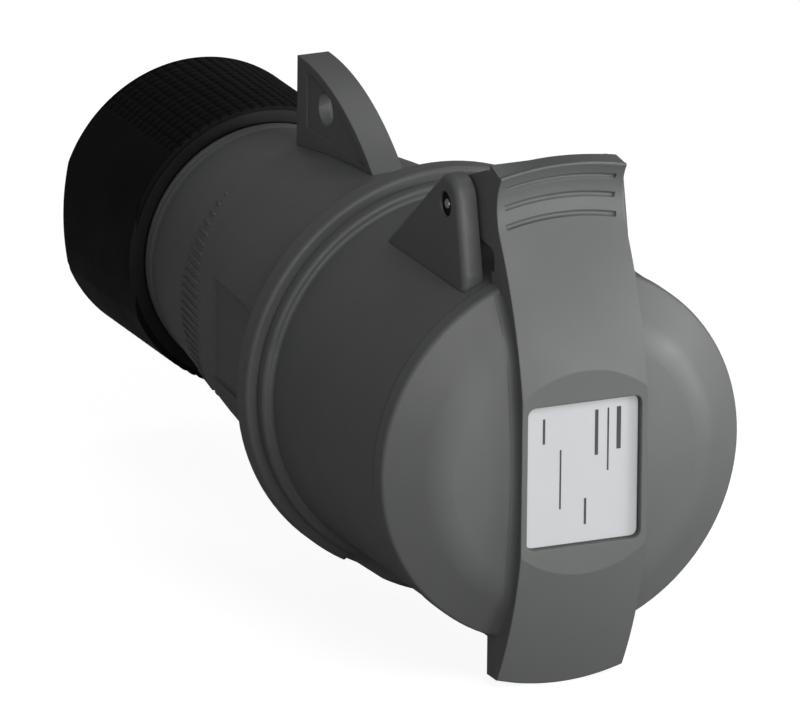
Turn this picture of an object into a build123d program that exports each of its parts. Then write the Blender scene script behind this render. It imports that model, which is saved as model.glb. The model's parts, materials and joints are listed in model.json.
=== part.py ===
"""Industrial cable coupler: three-pole pin-and-sleeve connector with a sprung lid and a screwed cable gland.

Millimetres. The coupler's axis is Y: the lid faces -Y and the cable leaves towards +Y. X is to the right seen
from the lid, and Z is up, with the hinge and the hanging fin on top. The origin is the centre of the mouth.
"""

import os
from math import acos, asin, cos, degrees, radians, sin, sqrt

from build123d import *

os.makedirs("parts", exist_ok=True)

# Front housing: the shell that takes the plug's sleeve
shell_radius = 36.7
shell_wall = 3.8
shell_length = 47.5
front_rim_radius = 38.6
front_rim_width = 2.8
rim_rounding = 0.9
spigot_wall = 2.1
spigot_length = 5.4
spigot_clearance = 0.15
seal_thickness = 0.5
keyway_width = 9.0
keyway_depth = 4.7
keyway_bulge_width = 15.0
keyway_bulge_wall = 3.2
lock_pad_half_angle = 29.0
lock_pad_radius = 39.6
lock_pad_length = 13.0
lock_pad_ramp = 10.0

# Rear housing
rear_rim_radius = 40.6
rear_rim_width = 5.4
rear_wall = 3.0
neck_length = 78.2
neck_foot = 0.4
collar_radius = 24.2
collar_length = 6.0
thread_radius = 22.6
thread_length = 18.0
gland_bore_radius = 19.3
gland_lip_radius = 17.5
gland_lip_thickness = 5.0
fin_thickness = 6.5
fin_rear_y = 111.9
fin_top_z = 45.75
fin_arc_radius = 53.0
fin_front_rim = 1.9
fin_rear_rim = 4.4
fin_left_recess = 0.4
fin_web_thickness = 2.4
fin_pocket_floor_z = 32.6
hanging_hole_radius = 3.4
hanging_hole_y = 99.3
hanging_hole_z = 38.5
side_panel_half_height = 10.0
side_panel_front_x = 30.6
side_panel_rear_x = 28.7
side_panel_start = 18.2
side_panel_end = 41.2

# Lid
lid_radius = 37.0
lid_gap = 0.2
lid_edge_length = 3.6
lid_dome_radius = 125.0
lid_crown = 13.2
lid_shoulder_radius = 28.0
lid_shoulder_rounding = 14.0
lid_wall = 2.5
lid_edge_rounding = 1.1
strap_width = 26.0
strap_dome_radius = 86.0
strap_crown = 17.4
label_pad_y = -15.0
label_width = 23.1
label_height = 27.9
label_z = -0.25
label_corner = 1.6
label_recess = 1.6
label_thickness = 0.3
label_clearance = 0.25
tab_radius = 45.0
lever_radius = 57.8
lever_palm_setback = 6.0
lever_palm_y = -2.3
lever_lip_y = -4.0
lever_back_y = 1.0
lever_throat_z = 41.5
lever_web_back_y = -1.4
finger_groove_radii = (47.6, 51.1, 54.8)
finger_groove_half_width = 11.3
finger_groove_size = 0.5
gasket_width = 2.8
gasket_thickness = 1.3
gasket_clearance = 0.1

# Lid hinge
pin_radius = 2.0
pin_y = 11.2
pin_z = 47.5
pin_recess = 0.5
pin_running_clearance = 0.05
ear_radius = 5.6
ear_thickness = 4.05
ear_clearance = 0.45
ear_rounding = 1.4
ear_rear_y = 39.5
knuckle_radius = 5.2
spring_gap_half_width = 5.0
spring_wire_radius = 0.6
spring_turns = 5
spring_side_gap = 0.6
spring_rear_leg = 12.5
spring_front_leg = 9.0
spring_web_y = 22.0
spring_web_thickness = 2.0

# Contact carrier and its contacts
carrier_face_y = 1.5
carrier_radius = 28.0
carrier_face_thickness = 3.5
carrier_skirt_wall = 1.8
tower_wall = 1.5
carrier_seat_width = 1.0
carrier_clearance = 0.15
cover_thickness = 8.2
contact_circle_radius = 15.0
pin_hole_clearance = 0.4
phase_bore_radius = 3.05
phase_wall = 1.55
earth_bore_radius = 4.05
earth_wall = 1.75
contact_pocket_clearance = 1.0
contact_bore_length = 21.0
contact_slot_width = 0.8
contact_collar_extra = 2.3
contact_collar_thickness = 3.0
contact_seat_clearance = 0.1
terminal_radius = 5.4
terminal_length = 20.0
wire_hole_radius = 3.3
wire_hole_depth = 12.0
terminal_screw_radius = 2.0
terminal_screw_length = 4.6
clamp_ring_height = 0.7
clamp_ring_width = 2.0
cover_screw_radius = 1.5
cover_screw_circle = 12.0

# Cable gland
nut_radius = 28.4
nut_length = 34.0
nut_chamfer = 0.9
nut_side_distance = 27.25
nut_side_radius = 52.0
nut_thread_clearance = 0.1
nut_mouth_radius = 13.6
nut_wall = 5.6
knurl_columns = 15
knurl_half_angle = 62.0
knurl_groove = 0.5
ring_thickness = 3.0
ring_mouth_radius = 14.0
basket_wall = 2.4
basket_floor_radius = 13.6
basket_floor_thickness = 1.5
basket_tip_gap = 0.3
basket_slot_width = 2.0
basket_slots = 8
cable_radius = 10.75
gland_clearance = 0.1

# Places along the axis that follow from the sizes
split_y = shell_length + front_rim_width
rear_rim_y = split_y + seal_thickness
rear_rim_end = rear_rim_y + rear_rim_width
neck_end = rear_rim_y + neck_length
collar_end = neck_end + collar_length
thread_end = collar_end + thread_length
gland_floor_y = neck_end + gland_lip_thickness
bore_radius = shell_radius - shell_wall
socket_radius = bore_radius + carrier_seat_width
spigot_radius = socket_radius + spigot_wall
carrier_face_end = carrier_face_y + carrier_face_thickness
carrier_seat_y = shell_length - 1.5
cover_y = carrier_seat_y
cover_end = cover_y + cover_thickness
ear_inner_x = strap_width / 2 + ear_clearance
ear_outer_x = ear_inner_x + ear_thickness
coil_radius = pin_radius + 0.35 + spring_wire_radius
coil_length = 2 * (spring_gap_half_width - spring_side_gap - spring_wire_radius)
spring_leg_z = pin_z - coil_radius
lever_palm_radius = lever_radius - lever_palm_setback
nut_end = collar_end + nut_length
ring_y = nut_end - nut_wall - ring_thickness
earth_angle = 60.0
contact_angles = {"line_contact": -60.0, "neutral_contact": 180.0, "earth_contact": earth_angle}


def outline(corners, plane=Plane.XY):
    """A closed flat outline through corners given as (x, y) or (x, y, rounding radius)."""
    points = [corner[:2] for corner in corners]
    roundings = [corner[2] if len(corner) > 2 else 0 for corner in corners]
    with BuildSketch(plane) as face:
        with BuildLine():
            FilletPolyline(*points, radius=roundings, close=True)
        make_face()
    return face.sketch


def around(angle):
    """The plane through the coupler's axis at an angle from +X towards +Z: x is the radius, y is Y."""
    a = radians(angle)
    return Plane(origin=(0, 0, 0), x_dir=(cos(a), 0, sin(a)), z_dir=(-sin(a), 0, cos(a)))


def beside_axis(angle):
    """The plane through a contact's own axis, parallel to Y, with its x outwards from that axis."""
    a = radians(angle)
    centre = (contact_circle_radius * cos(a), 0, contact_circle_radius * sin(a))
    return Plane(origin=centre, x_dir=(1, 0, 0), z_dir=(0, 0, 1))


def contact_axis(angle):
    """The axis of the contact at this angle."""
    return Axis(beside_axis(angle).origin, (0, 1, 0))


def dome_y(radius, sphere_radius, crown):
    """Where a dome with its crown at -crown stands at a distance from the axis."""
    return sphere_radius - crown - sqrt(sphere_radius**2 - radius**2)


def neck_profile(inset):
    """Points (radius, y) down the rear housing's outer face, from the rim to the collar."""
    full = [(39.4, 0), (36.9, 4.2), (33.9, 10.6), (32.2, 19.6)]
    full += [(31.0, 33.6), (29.2, 47.1), (27.2, 60.1), (25.5, 72.4)]
    stretch = (neck_end - neck_foot - rear_rim_end) / full[-1][1]
    return [(radius - inset, rear_rim_end + step * stretch) for radius, step in full]


def panel_profile(side, inset):
    """What a flat side panel takes off the rear housing, seen from above; inset moves it into the wall."""
    x0, y0 = side_panel_front_x - inset, rear_rim_y + side_panel_start
    x1, y1 = side_panel_rear_x - inset, rear_rim_y + side_panel_end
    corners = [(x0 + 1.5, y0 - 1.5), (x0, y0), (x1, y1), (x1 + 2.3, y1 + 8), (46, y1 + 8), (46, y0 - 1.5)]
    return outline([(side * x, y) for x, y in corners])


# Hinge bracket on the front housing: two ears that hold the pin, and a web that the spring leans on
with BuildPart() as ear:
    extrude(
        outline(
            [
                (lid_gap + 2.4, bore_radius - 4),
                (lid_gap + 2.4, shell_radius - 1.5, 3),
                (pin_y - 4.6, pin_z + ear_radius, 4.6),
                (pin_y + 1.8, pin_z + ear_radius, 4.2),
                (ear_rear_y, shell_radius - 5.2),
                (ear_rear_y, bore_radius - 4),
            ],
            Plane.YZ.offset(ear_inner_x),
        ),
        amount=ear_thickness,
    )
    outer_face = ear.faces().sort_by(Axis.X)[-1]
    fillet(outer_face.edges().filter_by(lambda edge: edge.center().Z > bore_radius - 3), ear_rounding)
    with BuildSketch(Plane.YZ.offset(ear_inner_x)):
        with Locations((pin_y, pin_z)):
            Circle(pin_radius)
    extrude(amount=ear_thickness, mode=Mode.SUBTRACT)
    with BuildSketch(Plane.YZ.offset(ear_outer_x)):
        with Locations((pin_y, pin_z)):
            Circle(pin_radius + pin_recess)
    extrude(amount=-pin_recess, mode=Mode.SUBTRACT)

with BuildPart() as hinge_bracket:
    add(ear.part)
    add(mirror(ear.part, about=Plane.YZ, mode=Mode.PRIVATE))
    with BuildSketch(Plane.YZ):
        with Locations((spring_web_y, spring_leg_z - spring_wire_radius - 6)):
            Rectangle(spring_web_thickness, 12)
    extrude(amount=ear_inner_x + 1, both=True)
    with BuildSketch(Plane.XZ):
        Circle(shell_radius)
    extrude(amount=-shell_length, mode=Mode.SUBTRACT)
hinge_bracket.part.label = "hinge_bracket"
export_step(hinge_bracket.part, "parts/hinge_bracket.step")

# Front housing, with the keyway and the bottom pad
with BuildPart() as lock_pad:
    pad_start = shell_length - lock_pad_length
    pad_outline = outline(
        [
            (bore_radius + 1, pad_start - lock_pad_ramp),
            (shell_radius - 0.1, pad_start - lock_pad_ramp),
            (lock_pad_radius - 0.5, pad_start, 6),
            (lock_pad_radius, split_y),
            (bore_radius + 1, split_y),
        ],
        around(-90 + lock_pad_half_angle),
    )
    revolve(pad_outline, axis=Axis.Y, revolution_arc=2 * lock_pad_half_angle)

with BuildPart() as front_housing:
    revolve(
        outline(
            [
                (spigot_radius - spigot_wall, 0),
                (shell_radius, 0, 0.4),
                (shell_radius, shell_length, 0.8),
                (front_rim_radius, shell_length, rim_rounding),
                (front_rim_radius, split_y, rim_rounding / 2),
                (spigot_radius, split_y),
                (spigot_radius, split_y + spigot_length, 0.5),
                (spigot_radius - spigot_wall, split_y + spigot_length),
            ]
        ),
        axis=Axis.Y,
    )
    revolve(
        outline(
            [
                (bore_radius, 0, 0.5),
                (socket_radius + 0.5, 0),
                (socket_radius + 0.5, carrier_seat_y),
                (bore_radius, carrier_seat_y),
            ]
        ),
        axis=Axis.Y,
    )
    add(lock_pad.part)
    bulge_bottom = bore_radius + keyway_depth + keyway_bulge_wall
    extrude(
        outline(
            [
                (-keyway_bulge_width / 2, -bore_radius + 3),
                (-keyway_bulge_width / 2, -bulge_bottom, 1.5),
                (keyway_bulge_width / 2, -bulge_bottom, 1.5),
                (keyway_bulge_width / 2, -bore_radius + 3),
            ],
            Plane.XZ,
        ),
        amount=-(shell_length + 0.5),
    )
    with BuildSketch(Plane.XZ):
        Circle(bore_radius)
    extrude(amount=-carrier_seat_y, mode=Mode.SUBTRACT)
    with BuildSketch(Plane.XZ):
        with Locations((0, -bore_radius)):
            Rectangle(keyway_width, 2 * keyway_depth)
    extrude(amount=-(carrier_seat_y - 3), mode=Mode.SUBTRACT)
    with BuildSketch(Plane.XZ.offset(-carrier_seat_y)):
        Circle(socket_radius)
    extrude(amount=-(split_y + spigot_length - carrier_seat_y), mode=Mode.SUBTRACT)
front_housing.part.label = "front_housing"
export_step(front_housing.part, "parts/front_housing.step")

# Sealing ring in the groove between the two housings
with BuildPart() as housing_seal:
    revolve(
        outline(
            [
                (spigot_radius + spigot_clearance, split_y),
                (front_rim_radius - 1.2, split_y),
                (front_rim_radius - 1.2, rear_rim_y),
                (spigot_radius + spigot_clearance, rear_rim_y),
            ]
        ),
        axis=Axis.Y,
    )
housing_seal.part.label = "housing_seal"
export_step(housing_seal.part, "parts/housing_seal.step")

# Rear housing: the tapered hood with the flat side panels and the gland's thread
with BuildPart() as hollow:
    with BuildSketch():
        with BuildLine():
            inside = Spline(*neck_profile(rear_wall)[2:])
            Polyline(
                inside @ 0,
                (neck_profile(rear_wall)[2][0], split_y + spigot_length + 0.6),
                (spigot_radius + spigot_clearance, split_y + spigot_length + 0.6),
                (spigot_radius + spigot_clearance, rear_rim_y),
                (0, rear_rim_y),
                (0, neck_end),
                (gland_lip_radius, neck_end),
                inside @ 1,
            )
        make_face()
    revolve(axis=Axis.Y)
    for side in (-1, 1):
        extrude(panel_profile(side, 2.2), amount=side_panel_half_height + 2, both=True, mode=Mode.SUBTRACT)

with BuildPart() as rear_form:
    with BuildSketch():
        with BuildLine():
            neck = Spline(*neck_profile(0))
            Polyline(
                neck @ 1,
                (collar_radius + 1.1, neck_end),
                (collar_radius + 0.7, neck_end + 3.5),
                (collar_radius, neck_end + 3.8),
                (collar_radius, neck_end + 4.2),
                (collar_radius + 0.4, neck_end + 4.6),
                (collar_radius + 0.4, collar_end - 0.3),
                (collar_radius, collar_end),
                (thread_radius, collar_end),
                (thread_radius, thread_end - 0.8),
                (thread_radius - 0.8, thread_end),
                (gland_lip_radius, thread_end),
                (gland_lip_radius, rear_rim_y),
                (rear_rim_radius - rim_rounding, rear_rim_y),
            )
            RadiusArc(
                (rear_rim_radius - rim_rounding, rear_rim_y),
                (rear_rim_radius, rear_rim_y + rim_rounding),
                -rim_rounding,
            )
            Polyline(
                (rear_rim_radius, rear_rim_y + rim_rounding),
                (rear_rim_radius, rear_rim_end - rim_rounding),
                (rear_rim_radius - rim_rounding, rear_rim_end),
                neck @ 0,
            )
        make_face()
    revolve(axis=Axis.Y)

with BuildPart() as rear_housing:
    add(rear_form.part)
    for side in (-1, 1):
        extrude(panel_profile(side, 0), amount=side_panel_half_height, both=True, mode=Mode.SUBTRACT)
    add(hollow.part, mode=Mode.SUBTRACT)
    with BuildSketch(Plane.XZ.offset(-gland_floor_y)):
        Circle(gland_bore_radius)
    extrude(amount=-(thread_end - gland_floor_y), mode=Mode.SUBTRACT)
    with BuildSketch(Plane.XZ.offset(-rear_rim_y)):
        reach = 1.5 * rear_rim_radius
        sector = [radians(-90 + s * lock_pad_half_angle) for s in (-1, 1)]
        with BuildLine():
            Polyline((0, 0), *[(reach * cos(a), reach * sin(a)) for a in sector], (0, 0))
        make_face()
        Circle(lock_pad_radius + 0.4, mode=Mode.SUBTRACT)
    extrude(amount=-rear_rim_width, mode=Mode.SUBTRACT)
rear_housing.part.label = "rear_housing"
export_step(rear_housing.part, "parts/rear_housing.step")

# Hanging fin on the rear housing: a web inside a rim, with the hole through the web
with BuildPart() as hanging_fin:
    brow_centre = (fin_rear_y, fin_top_z - fin_arc_radius)
    with BuildSketch(Plane.YZ):
        with BuildLine():
            brow = CenterArc(brow_centre, fin_arc_radius, 90, 50)
            Polyline(brow @ 1, (fin_rear_y, 20), brow @ 0)
        make_face()
    extrude(amount=fin_thickness / 2, both=True)
    pocket_radius = fin_arc_radius - fin_front_rim
    pocket_from = degrees(asin(fin_rear_rim / pocket_radius))
    pocket_to = degrees(acos((fin_pocket_floor_z - fin_top_z + fin_arc_radius) / pocket_radius))
    web_left = -fin_thickness / 2 + fin_left_recess
    for start, depth in ((web_left, -1), (web_left + fin_web_thickness, fin_thickness)):
        with BuildSketch(Plane.YZ.offset(start)):
            with BuildLine():
                rim = CenterArc(brow_centre, pocket_radius, 90 + pocket_from, pocket_to - pocket_from)
                Polyline(rim @ 1, (fin_rear_y - fin_rear_rim, fin_pocket_floor_z), rim @ 0)
            make_face()
        extrude(amount=depth, mode=Mode.SUBTRACT)
    with BuildSketch(Plane.YZ):
        with Locations((hanging_hole_y, hanging_hole_z)):
            Circle(hanging_hole_radius)
    extrude(amount=fin_thickness, both=True, mode=Mode.SUBTRACT)
    with BuildSketch():
        with BuildLine():
            foot = Spline(*neck_profile(0))
            Polyline(foot @ 1, (0, neck_end), (0, rear_rim_end), foot @ 0)
        make_face()
    revolve(axis=Axis.Y, mode=Mode.SUBTRACT)
hanging_fin.part.label = "hanging_fin"
export_step(hanging_fin.part, "parts/hanging_fin.step")

# Lid, with the raised strap, the thumb lever and the hinge knuckles
with BuildPart() as strap:
    with BuildSketch():
        with BuildLine():
            tab_front = dome_y(tab_radius, strap_dome_radius, strap_crown)
            face = ThreePointArc(
                (0, -strap_crown),
                (tab_radius / 2, dome_y(tab_radius / 2, strap_dome_radius, strap_crown)),
                (tab_radius, tab_front),
            )
            Polyline(
                face @ 1,
                (tab_radius, -lid_gap),
                (lid_radius - 1, -lid_gap),
                (lid_radius - 1, -lid_wall),
                (lid_shoulder_radius, 1.0 - lid_crown + 3.2),
                (0, 1.0 - lid_crown),
                face @ 0,
            )
        make_face()
    revolve(axis=Axis.Y)
    with BuildSketch(Plane.XZ.offset(-30)):
        Rectangle(strap_width, 4 * strap_width)
    extrude(amount=-label_pad_y + 30, mode=Mode.INTERSECT)
    with BuildSketch(Plane.YZ):
        with Locations((0, (lid_radius + tab_radius) / 2 + 0.6)):
            Rectangle(-2 * lever_web_back_y, tab_radius - lid_radius + 1)
    extrude(amount=strap_width, both=True, mode=Mode.SUBTRACT)
    tip = strap.edges().filter_by(lambda edge: edge.center().Z < -tab_radius + 1.5).sort_by(Axis.Y)[0:1]
    fillet(tip, 0.6)

with BuildPart() as lever:
    with BuildSketch():
        with BuildLine():
            bend = tab_radius + 1.0
            inside = (30, dome_y(30, strap_dome_radius, strap_crown) + 1.2)
            lower = ThreePointArc(*[
                (r, dome_y(r, strap_dome_radius, strap_crown)) for r in (tab_radius - 0.3, tab_radius, bend)
            ])
            palm_end = (lever_radius - 0.5, lever_lip_y)
            palm = ThreePointArc(lower @ 1, (lever_palm_radius, lever_palm_y), palm_end)
            lip_end = (lever_radius, lever_lip_y + 0.4)
            lip = ThreePointArc(palm_end, (lever_radius - 0.1, lever_lip_y - 0.05), lip_end)
            Polyline(lip @ 1, (lever_radius, 20), (30, 20), inside, lower @ 0)
        make_face()
    revolve(axis=Axis.Y)
    with BuildSketch(Plane.YZ):
        with BuildLine():
            FilletPolyline(
                (-20, lid_radius - 0.8),
                (-20, 60),
                (lever_back_y, 60),
                (lever_back_y, pin_z + 9.3),
                (pin_y, pin_z + knuckle_radius),
                (pin_y, pin_z - knuckle_radius),
                (lever_web_back_y, lever_throat_z),
                (lever_web_back_y, lid_radius - 0.8),
                radius=[0, 0, 0, 2.5, 0, 0, 2.0, 0],
                close=True,
            )
        make_face()
        with Locations((pin_y, pin_z)):
            Circle(knuckle_radius)
    extrude(amount=strap_width / 2, both=True, mode=Mode.INTERSECT)
    for groove_radius in finger_groove_radii:
        half = degrees(asin(finger_groove_half_width / groove_radius))
        across = (groove_radius - lever_palm_radius) / lever_palm_setback
        groove_y = lever_lip_y + (lever_palm_y - lever_lip_y) * (1 - across**2)
        with BuildSketch(around(90 + half)):
            with Locations((groove_radius, groove_y)):
                Circle(finger_groove_size)
        revolve(axis=Axis.Y, revolution_arc=2 * half, mode=Mode.SUBTRACT)
    with BuildSketch(Plane.YZ):
        with Locations((pin_y, pin_z)):
            Circle(pin_radius + pin_running_clearance)
    extrude(amount=strap_width, both=True, mode=Mode.SUBTRACT)
    with BuildSketch(Plane.YZ):
        with Locations((pin_y, pin_z)):
            Circle(knuckle_radius + 0.9)
        with Locations((pin_y + 5, pin_z)):
            Rectangle(10, 2 * knuckle_radius + 1.8)
        with Locations((pin_y, pin_z - 5)):
            Rectangle(2 * knuckle_radius + 1.8, 10)
    extrude(amount=spring_gap_half_width, both=True, mode=Mode.SUBTRACT)
    with BuildSketch(Plane.XZ.offset(-(pin_y - spring_front_leg - 0.5))):
        with Locations((-coil_length / 2, spring_leg_z - spring_wire_radius + 1.5)):
            Rectangle(3 * spring_wire_radius, 3.0)
    extrude(amount=-5, mode=Mode.SUBTRACT)

with BuildPart() as lid:
    with BuildSketch():
        with BuildLine():
            edge_y = -lid_gap - lid_edge_length
            shoulder_y = dome_y(lid_shoulder_radius, lid_dome_radius, lid_crown)
            shoulder_slope = (edge_y - shoulder_y) / (lid_radius - lid_shoulder_radius)
            inner_radius = lid_radius - gasket_width - 1.2
            inner_sphere = lid_dome_radius - lid_wall
            inner_crown = lid_crown - lid_wall
            inner_shoulder = lid_shoulder_radius - 1.5
            inner_shoulder_y = dome_y(inner_shoulder, inner_sphere, inner_crown)
            seat_y = -lid_gap - gasket_thickness
            hollow_y = inner_shoulder_y + shoulder_slope * (inner_radius - inner_shoulder)
            dome = ThreePointArc(
                (0, -lid_crown),
                (14, dome_y(14, lid_dome_radius, lid_crown)),
                (lid_shoulder_radius, shoulder_y),
            )
            Polyline(
                dome @ 1,
                (lid_radius, edge_y),
                (lid_radius, -lid_gap),
                (lid_radius - 1.0, -lid_gap),
                (lid_radius - 1.0, seat_y),
                (inner_radius, seat_y),
                (inner_radius, hollow_y),
                (inner_shoulder, inner_shoulder_y),
            )
            ThreePointArc(
                (inner_shoulder, inner_shoulder_y),
                (inner_shoulder / 2, dome_y(inner_shoulder / 2, inner_sphere, inner_crown)),
                (0, -inner_crown),
            )
            Line((0, -inner_crown), (0, -lid_crown))
        make_face()
        fillet(vertices().filter_by(lambda v: abs(v.X - lid_radius) < 0.01 and v.Y < -2), lid_edge_rounding)
        fillet(vertices().filter_by(lambda v: abs(v.X - lid_shoulder_radius) < 0.01), lid_shoulder_rounding)
    revolve(axis=Axis.Y)
    add(strap.part)
    add(lever.part)
    pocket_width = label_width + 2 * label_clearance
    pocket_height = label_height + 2 * label_clearance
    with BuildSketch(Plane.XZ.offset(-label_pad_y)):
        with Locations((0, label_z)):
            RectangleRounded(pocket_width, pocket_height, label_corner)
    extrude(amount=-label_recess, mode=Mode.SUBTRACT)
lid.part.label = "lid"
export_step(lid.part, "parts/lid.step")

# Lid gasket
with BuildPart() as lid_gasket:
    revolve(
        outline(
            [
                (inner_radius, seat_y),
                (lid_radius - 1.0 - gasket_clearance, seat_y),
                (lid_radius - 1.0 - gasket_clearance, -lid_gap - 0.1),
                (inner_radius, -lid_gap - 0.1),
            ]
        ),
        axis=Axis.Y,
    )
lid_gasket.part.label = "lid_gasket"
export_step(lid_gasket.part, "parts/lid_gasket.step")

# Rating label, at the bottom of its recess
with BuildPart() as rating_label:
    with BuildSketch(Plane.XZ.offset(-(label_pad_y + label_recess))):
        with Locations((0, label_z)):
            RectangleRounded(label_width, label_height, label_corner - label_clearance)
    extrude(amount=label_thickness)
rating_label.part.label = "rating_label"
export_step(rating_label.part, "parts/rating_label.step")

# Hinge pin, pressed into the two ears
with BuildPart() as lid_hinge_pin:
    with BuildSketch(Plane.YZ):
        with Locations((pin_y, pin_z)):
            Circle(pin_radius)
    extrude(amount=ear_outer_x - pin_recess, both=True)
    chamfer(lid_hinge_pin.edges().filter_by(GeomType.CIRCLE), 0.4)
lid_hinge_pin.part.label = "lid_hinge_pin"
export_step(lid_hinge_pin.part, "parts/lid_hinge_pin.step")

# Torsion spring on the pin between the knuckles
with BuildPart() as lid_spring:
    with BuildLine() as coil_line:
        coil = Helix(
            coil_length / spring_turns,
            coil_length,
            coil_radius,
            center=(coil_length / 2, pin_y, pin_z),
            direction=(-1, 0, 0),
        )
    with BuildSketch(Plane(origin=coil @ 0, z_dir=coil % 0)):
        Circle(spring_wire_radius)
    sweep(path=coil, is_frenet=True)
    for x, reach in ((coil_length / 2, -spring_rear_leg), (-coil_length / 2, spring_front_leg)):
        with BuildSketch(Plane.XZ.offset(-pin_y)):
            with Locations((x, spring_leg_z)):
                Circle(spring_wire_radius)
        extrude(amount=reach)
lid_spring.part.label = "lid_spring"
export_step(lid_spring.part, "parts/lid_spring.step")

# Contact carrier: a face with pin holes, a skirt that the plug's sleeve slides over, towers and screw posts
with BuildPart() as contact_carrier:
    with BuildSketch(Plane.XZ.offset(-carrier_face_y)):
        Circle(carrier_radius)
    extrude(amount=-carrier_face_thickness)
    chamfer(contact_carrier.edges().group_by(Axis.Y)[0], 0.6)
    for name, angle in contact_angles.items():
        hole = (earth_bore_radius if name == "earth_contact" else phase_bore_radius) + pin_hole_clearance
        revolve(
            outline(
                [
                    (0, carrier_face_y - 1),
                    (hole + 1.6, carrier_face_y - 1),
                    (hole, carrier_face_y + 0.6),
                    (hole, carrier_face_end + 1),
                    (0, carrier_face_end + 1),
                ],
                beside_axis(angle),
            ),
            axis=contact_axis(angle),
            mode=Mode.SUBTRACT,
        )
contact_carrier.part.label = "contact_carrier"
export_step(contact_carrier.part, "parts/contact_carrier.step")

with BuildPart() as carrier_skirt:
    with BuildSketch(Plane.XZ.offset(-carrier_face_end)):
        Circle(carrier_radius)
        Circle(carrier_radius - carrier_skirt_wall, mode=Mode.SUBTRACT)
    extrude(amount=-(cover_y - carrier_face_end))
carrier_skirt.part.label = "carrier_skirt"
export_step(carrier_skirt.part, "parts/carrier_skirt.step")

with BuildPart() as contact_towers:
    for name, angle in contact_angles.items():
        bore = earth_bore_radius if name == "earth_contact" else phase_bore_radius
        wall = earth_wall if name == "earth_contact" else phase_wall
        pocket = bore + wall + contact_pocket_clearance
        with BuildSketch(Plane.XZ.offset(-carrier_face_end)):
            with PolarLocations(contact_circle_radius, 1, start_angle=angle):
                Circle(pocket + tower_wall)
                Circle(pocket, mode=Mode.SUBTRACT)
        extrude(amount=-(cover_y - contact_collar_thickness - carrier_face_end))
contact_towers.part.label = "contact_towers"
export_step(contact_towers.part, "parts/contact_towers.step")

with BuildPart() as screw_posts:
    with BuildSketch(Plane.XZ.offset(-carrier_face_end)):
        with PolarLocations(cover_screw_circle, 3, start_angle=0):
            Circle(2 * cover_screw_radius)
    extrude(amount=-(cover_y - carrier_face_end))
    with BuildSketch(Plane.XZ.offset(-cover_y)):
        with PolarLocations(cover_screw_circle, 3, start_angle=0):
            Circle(cover_screw_radius)
    extrude(amount=14, mode=Mode.SUBTRACT)
screw_posts.part.label = "screw_posts"
export_step(screw_posts.part, "parts/screw_posts.step")

# Cover that holds the contacts on their towers
with BuildPart() as carrier_cover:
    with BuildSketch(Plane.XZ.offset(-cover_y)):
        Circle(socket_radius - carrier_clearance)
        for angle in contact_angles.values():
            with PolarLocations(contact_circle_radius, 1, start_angle=angle):
                Circle(terminal_radius + contact_seat_clearance, mode=Mode.SUBTRACT)
        with PolarLocations(cover_screw_circle, 3, start_angle=0):
            Circle(cover_screw_radius + contact_seat_clearance, mode=Mode.SUBTRACT)
    extrude(amount=-cover_thickness)
carrier_cover.part.label = "carrier_cover"
export_step(carrier_cover.part, "parts/carrier_cover.step")

# Screws of the cover
with BuildPart() as cover_screws:
    with BuildSketch(Plane.XZ.offset(-cover_end)) as heads:
        with PolarLocations(cover_screw_circle, 3, start_angle=0):
            Circle(2 * cover_screw_radius)
    extrude(amount=-2.0)
    with BuildSketch(Plane.XZ.offset(-cover_end)):
        with PolarLocations(cover_screw_circle, 3, start_angle=0):
            Circle(cover_screw_radius - 0.05)
    extrude(amount=cover_thickness + 12)
    with BuildSketch(Plane.XZ.offset(-(cover_end + 2.0))):
        with PolarLocations(cover_screw_circle, 3, start_angle=0):
            Rectangle(0.8, 5.0)
            Rectangle(5.0, 0.8)
    extrude(amount=0.9, mode=Mode.SUBTRACT)
cover_screws.part.label = "cover_screws"
export_step(cover_screws.part, "parts/cover_screws.step")

# Line, neutral and earth contacts: a slit sleeve, a collar and a terminal barrel, turned in one piece
sleeve_y = carrier_face_end + 0.3
collar_y = cover_y - contact_collar_thickness
terminal_end = cover_y + terminal_length
screw_steps = (11.0, 16.6)
for name, angle in contact_angles.items():
    bore = earth_bore_radius if name == "earth_contact" else phase_bore_radius
    wall = earth_wall if name == "earth_contact" else phase_wall
    with BuildPart() as contact:
        revolve(
            outline(
                [
                    (0, sleeve_y),
                    (bore + wall, sleeve_y, 0.5),
                    (bore + wall, collar_y),
                    (bore + wall + contact_collar_extra, collar_y),
                    (bore + wall + contact_collar_extra, cover_y),
                    (terminal_radius, cover_y),
                    (terminal_radius, terminal_end, 0.6),
                    (0, terminal_end),
                ],
                beside_axis(angle),
            ),
            axis=contact_axis(angle),
        )
        with BuildSketch(Plane.XZ.offset(-sleeve_y)):
            with PolarLocations(contact_circle_radius, 1, start_angle=angle):
                Circle(bore)
        extrude(amount=-contact_bore_length, mode=Mode.SUBTRACT)
        with BuildSketch(Plane.XZ.offset(-sleeve_y)):
            with PolarLocations(contact_circle_radius, 1, start_angle=angle):
                Rectangle(contact_slot_width, 4 * bore)
                Rectangle(4 * bore, contact_slot_width)
        extrude(amount=-(contact_bore_length - 3), mode=Mode.SUBTRACT)
        with BuildSketch(Plane.XZ.offset(-terminal_end)):
            with PolarLocations(contact_circle_radius, 1, start_angle=angle):
                Circle(wire_hole_radius)
        extrude(amount=wire_hole_depth, mode=Mode.SUBTRACT)
        for step in screw_steps:
            with BuildSketch(Plane(origin=(0, cover_y + step, 0), z_dir=around(angle).x_dir)):
                Circle(terminal_screw_radius)
            extrude(amount=contact_circle_radius + 2 * terminal_radius, mode=Mode.SUBTRACT)
    contact.part.label = name
    export_step(contact.part, f"parts/{name}.step")

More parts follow.
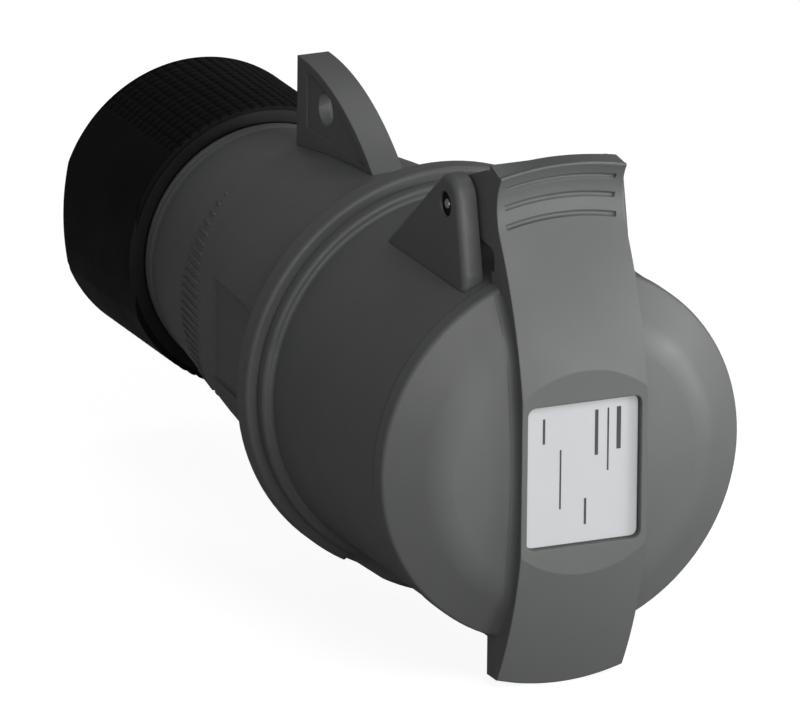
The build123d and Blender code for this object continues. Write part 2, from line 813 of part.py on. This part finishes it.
# Terminal screws, two in each terminal barrel
with BuildPart() as terminal_screws:
    for angle in contact_angles.values():
        for step in screw_steps:
            tip = contact_circle_radius + wire_hole_radius - 2.2
            tip_centre = around(angle).x_dir * tip + Vector(0, cover_y + step, 0)
            with BuildSketch(Plane(origin=tip_centre, z_dir=around(angle).x_dir)):
                Circle(terminal_screw_radius - 0.05)
            extrude(amount=terminal_screw_length)
            with BuildSketch(
                Plane(
                    origin=around(angle).x_dir * (tip + terminal_screw_length) + Vector(0, cover_y + step, 0),
                    z_dir=around(angle).x_dir,
                )
            ):
                Rectangle(0.7, 5)
            extrude(amount=-0.9, mode=Mode.SUBTRACT)
terminal_screws.part.label = "terminal_screws"
export_step(terminal_screws.part, "parts/terminal_screws.step")

# Spring rings that close the slit sleeves
with BuildPart() as contact_rings:
    for name, angle in contact_angles.items():
        bore = earth_bore_radius if name == "earth_contact" else phase_bore_radius
        wall = earth_wall if name == "earth_contact" else phase_wall
        with BuildSketch(Plane.XZ.offset(-(sleeve_y + 2))):
            with PolarLocations(contact_circle_radius, 1, start_angle=angle):
                Circle(bore + wall + clamp_ring_height)
                Circle(bore + wall, mode=Mode.SUBTRACT)
        extrude(amount=-clamp_ring_width)
contact_rings.part.label = "contact_rings"
export_step(contact_rings.part, "parts/contact_rings.step")

# Gland nut, with two smooth side faces and a knurled grip above and below
with BuildPart() as gland_nut:
    revolve(
        outline(
            [
                (thread_radius + nut_thread_clearance, collar_end),
                (nut_radius, collar_end, nut_chamfer),
                (nut_radius, nut_end, nut_chamfer),
                (nut_mouth_radius + 2.0, nut_end, 1.0),
                (nut_mouth_radius, nut_end - 3.0),
                (nut_mouth_radius, nut_end - nut_wall),
                (thread_radius - 1.3, nut_end - nut_wall),
                (thread_radius - 1.3, thread_end + 2.0),
                (thread_radius + nut_thread_clearance, thread_end + 2.0),
            ]
        ),
        axis=Axis.Y,
    )
    with BuildSketch(Plane.XZ.offset(-(collar_end - 1))):
        with Locations((nut_side_distance - nut_side_radius, 0)):
            Circle(nut_side_radius)
        with Locations((nut_side_radius - nut_side_distance, 0)):
            Circle(nut_side_radius, mode=Mode.INTERSECT)
    extrude(amount=-(nut_length + 2), mode=Mode.INTERSECT)
    with BuildSketch(Plane.XZ.offset(-(collar_end + 1.2))):
        for middle in (90, 270):
            step = 2 * knurl_half_angle / (knurl_columns - 1)
            for i in range(knurl_columns):
                with PolarLocations(nut_radius, 1, start_angle=middle - knurl_half_angle + i * step):
                    Rectangle(2 * knurl_groove, 1.0)
    extrude(amount=-(nut_length - 2.4), mode=Mode.SUBTRACT)
gland_nut.part.label = "gland_nut"
export_step(gland_nut.part, "parts/gland_nut.step")

# Pressure ring between the nut and the clamping basket
with BuildPart() as pressure_ring:
    revolve(
        outline(
            [
                (ring_mouth_radius, ring_y),
                (thread_radius - 1.3 - gland_clearance, ring_y),
                (thread_radius - 1.3 - gland_clearance, ring_y + ring_thickness),
                (ring_mouth_radius, ring_y + ring_thickness),
            ]
        ),
        axis=Axis.Y,
    )
pressure_ring.part.label = "pressure_ring"
export_step(pressure_ring.part, "parts/pressure_ring.step")

# Clamping basket: a cup with slit fingers
basket_radius = gland_bore_radius - gland_clearance
basket_y = gland_floor_y
basket_end = ring_y - basket_tip_gap
with BuildPart() as clamping_basket:
    revolve(
        outline(
            [
                (basket_floor_radius, basket_y),
                (basket_radius, basket_y),
                (basket_radius, thread_end),
                (basket_radius - 1.2, basket_end),
                (basket_radius - basket_wall, basket_end),
                (basket_radius - basket_wall, basket_y + basket_floor_thickness),
                (basket_floor_radius, basket_y + basket_floor_thickness),
            ]
        ),
        axis=Axis.Y,
    )
    with BuildSketch(Plane.XZ.offset(-basket_end)):
        with PolarLocations(basket_radius, basket_slots):
            Rectangle(4 * basket_wall, basket_slot_width)
    extrude(amount=basket_end - basket_y - 6, mode=Mode.SUBTRACT)
clamping_basket.part.label = "clamping_basket"
export_step(clamping_basket.part, "parts/clamping_basket.step")

# Rubber cable seal inside the basket
with BuildPart() as cable_seal:
    revolve(
        outline(
            [
                (cable_radius, basket_y + basket_floor_thickness),
                (basket_radius - basket_wall - gland_clearance, basket_y + basket_floor_thickness),
                (basket_radius - basket_wall - gland_clearance, basket_end - 1.0),
                (cable_radius, basket_end - 1.0),
            ]
        ),
        axis=Axis.Y,
    )
cable_seal.part.label = "cable_seal"
export_step(cable_seal.part, "parts/cable_seal.step")
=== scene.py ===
"""Looks of the industrial cable coupler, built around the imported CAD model. Metres, in the row's frame."""

import json
from math import atan, cos, degrees, hypot, pi, radians, sin, tan

import bmesh
import bpy
from mathutils import Matrix, Vector


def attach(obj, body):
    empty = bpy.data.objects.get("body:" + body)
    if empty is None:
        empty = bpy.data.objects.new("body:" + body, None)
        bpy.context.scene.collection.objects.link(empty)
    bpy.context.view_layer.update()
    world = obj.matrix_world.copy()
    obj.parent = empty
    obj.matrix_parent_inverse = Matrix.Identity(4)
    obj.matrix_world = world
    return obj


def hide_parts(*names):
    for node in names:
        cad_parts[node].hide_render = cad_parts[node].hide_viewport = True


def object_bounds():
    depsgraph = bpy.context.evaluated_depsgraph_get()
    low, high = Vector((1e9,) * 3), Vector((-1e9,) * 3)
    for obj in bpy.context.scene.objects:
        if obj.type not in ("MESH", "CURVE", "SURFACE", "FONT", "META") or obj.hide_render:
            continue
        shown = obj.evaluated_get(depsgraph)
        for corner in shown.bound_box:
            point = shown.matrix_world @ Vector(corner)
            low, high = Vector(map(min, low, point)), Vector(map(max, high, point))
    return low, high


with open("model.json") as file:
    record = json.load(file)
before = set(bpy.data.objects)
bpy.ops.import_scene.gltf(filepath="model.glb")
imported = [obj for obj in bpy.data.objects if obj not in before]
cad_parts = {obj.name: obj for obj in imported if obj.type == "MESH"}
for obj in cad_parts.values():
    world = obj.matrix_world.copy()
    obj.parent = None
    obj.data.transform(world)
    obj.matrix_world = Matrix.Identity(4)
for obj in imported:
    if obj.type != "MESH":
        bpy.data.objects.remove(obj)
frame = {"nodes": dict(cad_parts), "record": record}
cad_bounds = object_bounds()
scene = bpy.context.scene
MM = 0.001

# Camera, from the fit to the photograph
CAMERA_AZIMUTH = -24.35
CAMERA_ELEVATION = 18.15
CAMERA_ROLL = 0.60
CAMERA_DISTANCE = 5.331
CAMERA_SHIFT_RIGHT = -0.02986
CAMERA_SHIFT_UP = 0.01885
CAMERA_ORIGIN_Y = -0.003
LENS = 1270.2


def make_camera():
    a, e, roll = radians(CAMERA_AZIMUTH), radians(CAMERA_ELEVATION), radians(CAMERA_ROLL)
    back = Vector((sin(a) * cos(e), -cos(a) * cos(e), sin(e)))
    right = Vector((cos(a), sin(a), 0))
    up = back.cross(right)
    right_r = right * cos(roll) + up * sin(roll)
    up_r = up * cos(roll) - right * sin(roll)
    place = back * CAMERA_DISTANCE + right_r * CAMERA_SHIFT_RIGHT + up_r * CAMERA_SHIFT_UP
    place.y += CAMERA_ORIGIN_Y
    data = bpy.data.cameras.new("camera")
    data.sensor_fit = "HORIZONTAL"
    data.sensor_width = 36
    data.lens = LENS
    data.clip_start = 0.1
    data.clip_end = 50
    camera = bpy.data.objects.new("camera", data)
    scene.collection.objects.link(camera)
    camera.matrix_world = Matrix.Translation(place) @ Matrix((right_r, up_r, back)).transposed().to_4x4()
    scene.camera = camera


make_camera()


# Materials
def new_material(name):
    material = bpy.data.materials.new(name)
    material.use_nodes = True
    tree = material.node_tree
    tree.nodes.clear()
    out = tree.nodes.new("ShaderNodeOutputMaterial")
    shader = tree.nodes.new("ShaderNodeBsdfPrincipled")
    tree.links.new(shader.outputs[0], out.inputs["Surface"])
    return material, tree, shader


def noise(tree, coords, scale, detail=3.0, roughness=0.55):
    node = tree.nodes.new("ShaderNodeTexNoise")
    node.inputs["Scale"].default_value = scale
    node.inputs["Detail"].default_value = detail
    node.inputs["Roughness"].default_value = roughness
    tree.links.new(coords, node.inputs["Vector"])
    return node.outputs[0]


def ramp(tree, value, low, high, out_low, out_high):
    node = tree.nodes.new("ShaderNodeMapRange")
    node.inputs["From Min"].default_value = low
    node.inputs["From Max"].default_value = high
    node.inputs["To Min"].default_value = out_low
    node.inputs["To Max"].default_value = out_high
    tree.links.new(value, node.inputs["Value"])
    return node.outputs[0]


CLOUD_SCALE, GLOSS_SCALE = 38.0, 120.0
NOISE_LOW, NOISE_HIGH = 0.3, 0.7
GRAIN_STRENGTH = 0.6


def surface(name, color, rough, metallic=0.0, specular=0.5, grain=1800.0, grain_depth=0.00002,
            mottle=0.05, edge=0.0004, rough_spread=0.05):
    """A procedural finish: fine grain in the surface, cloudy tone and gloss, and softened edges."""
    material, tree, shader = new_material(name)
    coords = tree.nodes.new("ShaderNodeTexCoord").outputs["Object"]
    cloud = noise(tree, coords, CLOUD_SCALE, 4.0)
    speck = noise(tree, coords, grain, 2.0, 0.5)
    tone = tree.nodes.new("ShaderNodeMix")
    tone.data_type = "RGBA"
    tone.inputs[6].default_value = (*[c * (1 - mottle) for c in color], 1)
    tone.inputs[7].default_value = (*[c * (1 + mottle) for c in color], 1)
    tree.links.new(ramp(tree, cloud, NOISE_LOW, NOISE_HIGH, 0.0, 1.0), tone.inputs[0])
    tree.links.new(tone.outputs[2], shader.inputs["Base Color"])
    patches = noise(tree, coords, GLOSS_SCALE, 5.0)
    gloss = ramp(tree, patches, NOISE_LOW, NOISE_HIGH, rough - rough_spread, rough + rough_spread)
    tree.links.new(gloss, shader.inputs["Roughness"])
    shader.inputs["Metallic"].default_value = metallic
    shader.inputs["Specular IOR Level"].default_value = specular
    bump = tree.nodes.new("ShaderNodeBump")
    bump.inputs["Strength"].default_value = GRAIN_STRENGTH
    bump.inputs["Distance"].default_value = grain_depth
    tree.links.new(speck, bump.inputs["Height"])
    if edge:
        bevel = tree.nodes.new("ShaderNodeBevel")
        bevel.samples = 6
        bevel.inputs["Radius"].default_value = edge
        tree.links.new(bevel.outputs[0], bump.inputs["Normal"])
    tree.links.new(bump.outputs[0], shader.inputs["Normal"])
    return material


GREY = (0.110, 0.115, 0.112)
LID_GREY = [c * 1.08 for c in GREY]
materials = {
    "housing_plastic": surface("housing_plastic", GREY, 0.47),
    "lid_plastic": surface("lid_plastic", LID_GREY, 0.5),
    "nut_plastic": surface("nut_plastic", (0.0032, 0.0032, 0.0034), 0.52, specular=0.1,
                           mottle=0.15),
    "insulator": surface("insulator", (0.06, 0.06, 0.062), 0.55),
    "soft_rubber": surface("soft_rubber", (0.018, 0.018, 0.018), 0.75, specular=0.3, grain=900.0),
    "gland_plastic": surface("gland_plastic", (0.42, 0.42, 0.4), 0.5),
    "label_film": surface("label_film", (0.565, 0.573, 0.59), 0.38, mottle=0.012, grain=2600.0,
                          grain_depth=0.000008, edge=0.0001),
    "contact_brass": surface("contact_brass", (0.78, 0.6, 0.3), 0.25, metallic=1.0, mottle=0.08),
    "screw_steel": surface("screw_steel", (0.62, 0.62, 0.6), 0.28, metallic=1.0, mottle=0.06),
    # Darker steel for the hinge pin: painted shade of the deep pin hole
    "pin_steel_painted_shade": surface("pin_steel_painted_shade", (0.16, 0.16, 0.165), 0.34, metallic=1.0, mottle=0.1),
    "spring_steel": surface("spring_steel", (0.5, 0.5, 0.5), 0.3, metallic=1.0, mottle=0.08),
    # A lighter copy of the nut's black: painted light on the nut's shaded front ring
    "nut_rim_painted_light": surface("nut_rim_painted_light", (0.012, 0.012, 0.0125), 0.5, specular=0.18, mottle=0.1),
    "lever_plastic": surface("lever_plastic", LID_GREY, 0.5, edge=0.0),
    "label_ink": surface("label_ink", (0.05, 0.05, 0.055), 0.5, mottle=0.1, edge=0.0),
}

for part in frame["record"]["subparts"]:
    node = frame["nodes"][part["node"]]
    for place in node.material_slots:
        place.material = materials[part["material_slot"]]
# The hinge pin gets the darker steel: painted shade of its deep hole
for place in frame["nodes"]["lid_hinge_pin"].material_slots:
    place.material = materials["pin_steel_painted_shade"]


# Pieces
def add_piece(name, verts, faces, material, body, smooth=True):
    mesh = bpy.data.meshes.new(name)
    mesh.from_pydata([tuple(c * MM for c in v) for v in verts], [], faces)
    mesh.validate()
    mesh.materials.append(materials[material])
    for face in mesh.polygons:
        face.use_smooth = smooth
    piece = bpy.data.objects.new(name, mesh)
    scene.collection.objects.link(piece)
    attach(piece, body)
    return piece


def shade_by_angle(piece, limit=35.0):
    """Smooth faces, with sharp edges where they meet at more than the limit."""
    mesh = piece.data
    work = bmesh.new()
    work.from_mesh(mesh)
    bmesh.ops.recalc_face_normals(work, faces=work.faces)
    for edge in work.edges:
        edge.smooth = len(edge.link_faces) == 2 and edge.calc_face_angle(0.0) < radians(limit)
    work.to_mesh(mesh)
    work.free()


# Gland nut: its size and its inside follow the part. From here to the floor, sizes are in millimetres
NUT_R, NUT_Y0, NUT_Y1 = 28.4, 135.0, 169.0
NUT_FRONT_R, NUT_REAR_R = 27.5, 27.45
THREAD_R = 22.7
NUT_INSIDE = [(16.6, NUT_Y1), (15.2, NUT_Y1 - 0.4), (14.6, NUT_Y1 - 1.2), (13.6, NUT_Y1 - 3.0),
              (13.6, 163.4), (21.3, 163.4), (21.3, 155.0), (THREAD_R, 155.0)]
SIDE_X, SIDE_R = 27.25, 52.0
KNURL_FROM, KNURL_TO = 48.0, 132.0
KNURL_START, KNURL_STOP = 0.4, 1.0
KNURL_DEPTH, KNURL_PITCH, KNURL_PHASE = 0.4, 2.2, 0.3
BUMPS, STEPS_PER_BUMP = 76, 6
EDGE_INSET, END_INSET = 0.05, 0.3


def side_radius(angle):
    """The radius of the nut's slightly bulging side faces."""
    offset = SIDE_R - SIDE_X
    across = offset * abs(cos(angle))
    return (across * across - offset * offset + SIDE_R * SIDE_R) ** 0.5 - across


def swell(t):
    """A rounded bump over each whole step of t, with a narrow valley between bumps."""
    return 1 - abs(2 * (t % 1.0) - 1) ** 4


def nut_radius(angle, y):
    """The nut's outer radius: two flats, and rows of rounded bumps on the two curved grips."""
    a = degrees(angle) % 180
    side = side_radius(angle)
    if side < NUT_R:
        return side
    if not (KNURL_FROM < a < KNURL_TO) or y < NUT_Y0 + KNURL_START or y > NUT_Y1 - KNURL_STOP:
        return NUT_R
    high = swell(angle / (2 * pi) * BUMPS) * swell((y - NUT_Y0) / KNURL_PITCH + KNURL_PHASE)
    return NUT_R - KNURL_DEPTH * (1 - high)


def make_nut():
    """Rows round the axis: (radius, y, inset from the side faces), or no inset for the knurl."""
    around = BUMPS * STEPS_PER_BUMP
    rows = [(THREAD_R, NUT_Y0, END_INSET), (NUT_FRONT_R, NUT_Y0, END_INSET),
            (NUT_R - 0.35, NUT_Y0 + 0.2, EDGE_INSET)]
    knurl_length = NUT_Y1 - NUT_Y0 - KNURL_START - KNURL_STOP
    count = int(knurl_length / KNURL_PITCH * STEPS_PER_BUMP)
    for i in range(count + 1):
        rows.append((NUT_R, NUT_Y0 + KNURL_START + knurl_length * i / count, None))
    rows += [(NUT_R, NUT_Y1 - 0.8, None), (NUT_R - 0.3, NUT_Y1 - 0.25, EDGE_INSET),
             (NUT_REAR_R, NUT_Y1, END_INSET)]
    rows += [(r, y, END_INSET) for r, y in NUT_INSIDE]
    verts = []
    for r, y, inset in rows:
        for k in range(around):
            a = 2 * pi * k / around
            radius = nut_radius(a, y) if inset is None else min(r, side_radius(a) - inset)
            verts.append((radius * cos(a), y, radius * sin(a)))
    faces = []
    n = len(rows)
    for i in range(n):
        j = (i + 1) % n
        for k in range(around):
            m = (k + 1) % around
            faces.append((i * around + k, i * around + m, j * around + m, j * around + k))
    nut = add_piece("knurled_nut", verts, faces, "nut_plastic", "gland_nut", smooth=False)
    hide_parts("gland_nut")


make_nut()


# Concave blends between the lid's strap and its dome
DOME_R, DOME_CROWN, SHOULDER_R, SHOULDER_ROUND = 125.0, 13.2, 28.0, 14.0
LID_R, LID_EDGE_Y = 37.0, -3.8
STRAP_X = 13.0
BLEND, BLEND_SUNK, BLEND_IN_STRAP, BLEND_RIM_GAP = 1.25, 0.4, 0.2, 0.4


def dome_y(r):
    """The lid's outer face: a flat dome, then a steeper shoulder, joined by a rounding."""
    def sphere(q):
        return DOME_R - DOME_CROWN - (DOME_R * DOME_R - q * q) ** 0.5

    corner_y = sphere(SHOULDER_R)
    slope = (LID_EDGE_Y - corner_y) / (LID_R - SHOULDER_R)
    inner = SHOULDER_R / (DOME_R * DOME_R - SHOULDER_R * SHOULDER_R) ** 0.5
    reach = SHOULDER_ROUND * tan((atan(slope) - atan(inner)) / 2)
    low = SHOULDER_R - reach * cos(atan(inner))
    high = SHOULDER_R + reach * cos(atan(slope))
    if r <= low:
        return sphere(r)
    if r >= high:
        return corner_y + slope * (r - SHOULDER_R)
    t = (r - low) / (high - low)
    y0, y2 = sphere(low), corner_y + slope * (high - SHOULDER_R)
    return y0 * (1 - t) ** 2 + 2 * t * (1 - t) * corner_y + y2 * t * t


def make_strap_blends():
    verts, faces = [], []
    steps, rows = 7, 60
    reach = ((LID_R - BLEND_RIM_GAP) ** 2 - (STRAP_X + BLEND) ** 2) ** 0.5
    for side in (-1, 1):
        first = len(verts)
        for i in range(rows + 1):
            z = -reach + 2 * reach * i / rows
            foot = dome_y(hypot(STRAP_X, z))
            toe = dome_y(hypot(STRAP_X + BLEND, z))
            for k in range(steps + 1):
                a = pi / 2 * k / steps
                out = BLEND * (1 - sin(a))
                lift = BLEND * (1 - cos(a))
                base = toe + (foot - toe) * (1 - out / BLEND)
                verts.append((side * (STRAP_X + out), base - lift, z))
            verts.append((side * (STRAP_X - BLEND_IN_STRAP), foot - BLEND, z))
            verts.append((side * (STRAP_X - BLEND_IN_STRAP), foot + BLEND_SUNK, z))
            verts.append((side * (STRAP_X + BLEND), toe + BLEND_SUNK, z))
        ring = steps + 4
        for i in range(rows):
            for k in range(ring):
                a, b = first + i * ring + k, first + i * ring + (k + 1) % ring
                quad = (a, b, b + ring, a + ring)
                faces.append(quad if side > 0 else quad[::-1])
        start = tuple(range(first, first + ring))
        end = tuple(range(first + rows * ring, first + (rows + 1) * ring))
        faces.append(start[::-1] if side > 0 else start)
        faces.append(end if side > 0 else end[::-1])
    blends = add_piece("strap_blends", verts, faces, "lid_plastic", "lid")
    shade_by_angle(blends)


make_strap_blends()


def add_turned(name, profile, segments, place, material, body):
    """A closed profile of (radius, step) swept round an axis; place gives the point at an angle."""
    verts = [place(2 * pi * k / segments, r, s) for k in range(segments) for r, s in profile]
    faces, n = [], len(profile)
    for k in range(segments):
        here, there = k * n, (k + 1) % segments * n
        for i in range(n):
            j = (i + 1) % n
            faces.append((here + i, here + j, there + j, there + i))
    piece = add_piece(name, verts, faces, material, body)
    shade_by_angle(piece, 30.0)
    return piece


def round_axis(angle, radius, y):
    """A point at an angle round the coupler's own axis."""
    return radius * cos(angle), y, radius * sin(angle)


# Flared band with a groove and a bead, at the rear end of the rear housing
COLLAR_BAND = [(23.9, 130.2), (25.05, 130.4), (25.13, 131.2), (25.24, 132.2), (25.2, 132.42), (25.05, 132.55),
               (24.6, 132.7), (24.5, 133.0), (24.6, 133.25), (24.82, 133.4), (24.9, 133.7), (24.9, 134.3),
               (24.75, 134.7), (24.3, 134.88), (23.9, 134.88)]
add_turned("collar_band", COLLAR_BAND, 144, round_axis, "housing_plastic", "housing")


# Smooth front ring of the nut, in a lighter black than the nut's own: painted light on its front face, which
# lies in shade
NUT_RING = [(24.9, 135.4), (24.9, 134.93), (27.1, 134.93), (27.75, 135.15), (27.95, 135.5)]
nut_ring = add_turned("nut_front_ring", NUT_RING, 144, round_axis, "nut_plastic", "gland_nut")
nut_ring.data.materials[0] = materials["nut_rim_painted_light"]


# Fine grip ribs along both sides of the rear housing
NECK = [(89.8, 31.0), (103.3, 29.2), (116.3, 27.2)]
RIB_PITCH, RIB_WIDTH, RIB_HEIGHT, RIB_SUNK = 1.6, 0.7, 0.3, 0.3
RIB_FRONT_Y, RIB_SLANT, RIB_PANEL_Y, RIB_REAR_Y = 95.5, 0.62, 97.5, 109.7
RIB_END, RIB_END_HEIGHT, RIB_TOP_SHARE, RIBS_EACH_WAY = 0.5, 0.02, 0.8, 13


def neck_radius(y):
    """The rear housing's radius, on the parabola through three points of its outline."""
    (ya, ra), (yb, rb), (yc, rc) = NECK
    front = ra * (y - yb) * (y - yc) / ((ya - yb) * (ya - yc))
    middle = rb * (y - ya) * (y - yc) / ((yb - ya) * (yb - yc))
    rear = rc * (y - ya) * (y - yb) / ((yc - ya) * (yc - yb))
    return front + middle + rear


def make_grip_ribs():
    verts, faces = [], []
    for side in (-1, 1):
        for row in range(-RIBS_EACH_WAY, RIBS_EACH_WAY + 1):
            z = row * RIB_PITCH
            start = max(RIB_FRONT_Y + RIB_SLANT * abs(z), RIB_PANEL_Y)
            full_length = RIB_REAR_Y - start - 2 * RIB_END
            stations = [start, *[start + RIB_END + full_length * i / 6 for i in range(7)], RIB_REAR_Y]
            first = len(verts)
            for n, y in enumerate(stations):
                r = neck_radius(y)
                x = (r * r - z * z) ** 0.5
                high = RIB_END_HEIGHT if n in (0, len(stations) - 1) else RIB_HEIGHT
                for across, out in ((-1, -RIB_SUNK), (-1, high), (1, high), (1, -RIB_SUNK)):
                    w = across * RIB_WIDTH / 2 * (RIB_TOP_SHARE if out > 0 else 1.0)
                    px = x - w * z / r + out * x / r
                    verts.append((side * px, y, z + w * x / r + out * z / r))
            for n in range(len(stations) - 1):
                for k in range(4):
                    a, b = first + 4 * n + k, first + 4 * n + (k + 1) % 4
                    faces.append((a, b, b + 4, a + 4))
            last = first + 4 * (len(stations) - 1)
            faces += [(first, first + 1, first + 2, first + 3), (last + 3, last + 2, last + 1, last)]
    shade_by_angle(add_piece("grip_ribs", verts, faces, "housing_plastic", "housing"))


make_grip_ribs()


# Ends of the hinge pin: a dark ring, painted shade in the pin's hole, round a small bright centre
PIN_Y, PIN_Z = 11.2, 47.5
PIN_SHADE_RING = [(0.8, 16.8), (2.42, 16.8), (2.42, 17.05), (2.2, 17.14), (1.2, 17.08), (0.8, 17.03)]
PIN_CENTRE = [(0.02, 16.8), (1.0, 16.8), (1.0, 17.1), (0.85, 17.27), (0.5, 17.38), (0.02, 17.42)]
for side, word in ((-1, "left"), (1, "right")):
    def at_pin(a, r, x, side=side):
        return (side * x, PIN_Y + r * cos(a), PIN_Z + r * sin(a))

    # The near-black ring is painted shade in the pin's hole
    add_turned("pin_shade_ring_" + word, PIN_SHADE_RING, 40, at_pin, "nut_plastic", "housing")
    add_turned("pin_centre_" + word, PIN_CENTRE, 24, at_pin, "screw_steel", "housing")


# Straighter rear edge along the top of the thumb lever
LEVER_R, LEVER_FRONT_Y, LEVER_REAR_Y, LEVER_TOP_Z = 57.8, -3.4, 1.0, 57.74
CROWN_SIDE_GAP, CROWN_FALL, CROWN_ROUND, CROWN_SUNK, CROWN_FRONT_SUNK = 0.03, 0.0062, 0.25, 0.4, 0.03


def make_lever_crown():
    verts, faces, count = [], [], 26
    for i in range(count + 1):
        x = (2 * i / count - 1) * (STRAP_X - CROWN_SIDE_GAP)
        arc = (LEVER_R * LEVER_R - x * x) ** 0.5
        top = LEVER_TOP_Z - CROWN_FALL * max(x, 0.0) ** 2
        verts += [(x, LEVER_FRONT_Y, arc - CROWN_FRONT_SUNK), (x, LEVER_REAR_Y - CROWN_ROUND, top),
                  (x, LEVER_REAR_Y, top - CROWN_ROUND), (x, LEVER_REAR_Y, arc - CROWN_SUNK),
                  (x, LEVER_FRONT_Y, arc - CROWN_SUNK)]
    for i in range(count):
        for k in range(5):
            a, b = 5 * i + k, 5 * i + (k + 1) % 5
            faces.append((a, b, b + 5, a + 5))
    last = 5 * count
    faces += [(0, 1, 2, 3, 4), tuple(range(last + 4, last - 1, -1))]
    crown = add_piece("lever_crown", verts, faces, "lid_plastic", "lid")
    crown.data.materials[0] = materials["lever_plastic"]
    shade_by_angle(crown)


make_lever_crown()


# Plain rules printed on the label, seen as if the coupler stood on its gland
LABEL_FRONT = -13.7
INK_HEIGHT, INK_SUNK = 0.02, 0.01
LABEL_RULES = [
    # (x, z of the middle, width, height)
    (-4.4, -1.3, 0.35, 11.8),
    (7.6, 7.6, 0.9, 8.4),
    (5.4, 5.6, 0.35, 12.4),
    (3.0, 7.2, 0.7, 9.0),
    (-7.9, 8.6, 0.5, 5.0),
    (0.8, -8.2, 0.5, 5.2),
]


def make_label_rules():
    verts, faces = [], []
    front = LABEL_FRONT - INK_HEIGHT
    for x, z, w, h in LABEL_RULES:
        n = len(verts)
        for y in (front, LABEL_FRONT + INK_SUNK):
            verts += [(x + i * w / 2, y, z + k * h / 2) for i, k in ((-1, -1), (1, -1), (1, 1), (-1, 1))]
        faces += [(n, n + 1, n + 2, n + 3), (n + 7, n + 6, n + 5, n + 4)]
        faces += [(n, n + 4, n + 5, n + 1), (n + 1, n + 5, n + 6, n + 2)]
        faces += [(n + 2, n + 6, n + 7, n + 3), (n + 3, n + 7, n + 4, n)]
    rules = add_piece("label_rules", verts, faces, "label_film", "lid", smooth=False)
    rules.data.materials[0] = materials["label_ink"]


make_label_rules()


# Floor, world and lamps, in metres
FLOOR_TONE, FLOOR_GLOW, FLOOR_SIZE, FLOOR_GAP = 0.3, 0.9, 30.0, 0.0002
WORLD_LEVEL = 0.154
LAMP_AIM = Vector((0, 0.05, 0))
LAMP_DISTANCE, LAMP_SIZE = 1.9, 0.9


def make_stage():
    low, _ = cad_bounds
    material, tree, shader = new_material("floor")
    tree.nodes.remove(shader)
    out = tree.nodes["Material Output"]
    path = tree.nodes.new("ShaderNodeLightPath")
    diffuse = tree.nodes.new("ShaderNodeBsdfDiffuse")
    diffuse.inputs["Color"].default_value = (FLOOR_TONE, FLOOR_TONE, FLOOR_TONE, 1)
    glow = tree.nodes.new("ShaderNodeEmission")
    glow.inputs["Color"].default_value = (1, 1, 1, 1)
    strength = tree.nodes.new("ShaderNodeMath")
    strength.operation = "MULTIPLY"
    strength.inputs[1].default_value = FLOOR_GLOW
    tree.links.new(path.outputs["Is Camera Ray"], strength.inputs[0])
    tree.links.new(strength.outputs[0], glow.inputs["Strength"])
    both = tree.nodes.new("ShaderNodeAddShader")
    tree.links.new(diffuse.outputs[0], both.inputs[0])
    tree.links.new(glow.outputs[0], both.inputs[1])
    tree.links.new(both.outputs[0], out.inputs["Surface"])
    mesh = bpy.data.meshes.new("floor")
    size, z = FLOOR_SIZE, low[2] - FLOOR_GAP
    corners = [(-size, -size, z), (size, -size, z), (size, size, z), (-size, size, z)]
    mesh.from_pydata(corners, [], [(0, 1, 2, 3)])
    mesh.materials.append(material)
    floor = bpy.data.objects.new("floor", mesh)
    scene.collection.objects.link(floor)

    world = bpy.data.worlds.new("studio")
    scene.world = world
    world.use_nodes = True
    tree = world.node_tree
    background = tree.nodes["Background"]
    path = tree.nodes.new("ShaderNodeLightPath")
    seen = tree.nodes.new("ShaderNodeMath")
    seen.operation = "MAXIMUM"
    tree.links.new(path.outputs["Is Camera Ray"], seen.inputs[0])
    tree.links.new(path.outputs["Is Transmission Ray"], seen.inputs[1])
    level = tree.nodes.new("ShaderNodeMapRange")
    level.inputs["To Min"].default_value = WORLD_LEVEL
    level.inputs["To Max"].default_value = 1.0
    tree.links.new(seen.outputs[0], level.inputs["Value"])
    tree.links.new(level.outputs[0], background.inputs["Strength"])
    background.inputs["Color"].default_value = (1, 1, 1, 1)


def add_lamp(name, toward, power):
    data = bpy.data.lights.new(name, "AREA")
    data.shape = "DISK"
    data.size = LAMP_SIZE
    data.energy = power
    lamp = bpy.data.objects.new(name, data)
    scene.collection.objects.link(lamp)
    lamp.location = LAMP_AIM + Vector(toward).normalized() * LAMP_DISTANCE
    lamp.rotation_euler = (LAMP_AIM - lamp.location).to_track_quat("-Z", "Y").to_euler()


make_stage()
# Name, direction from the coupler, power
LAMPS = [
    ("right", (0.85, -0.5, 0.1), 24.7),
    ("front", (0.3, -0.95, 0.0), 21.4),
    ("above", (0.0, -0.7, 0.7), 9.8),
    ("camera_side", (-0.39, -0.86, 0.31), 6.3),
    ("back", (0.5, 0.3, 0.8), 2.7),
]
for lamp_name, toward, watts in LAMPS:
    add_lamp(lamp_name, toward, watts)

scene.view_settings.view_transform = "Standard"
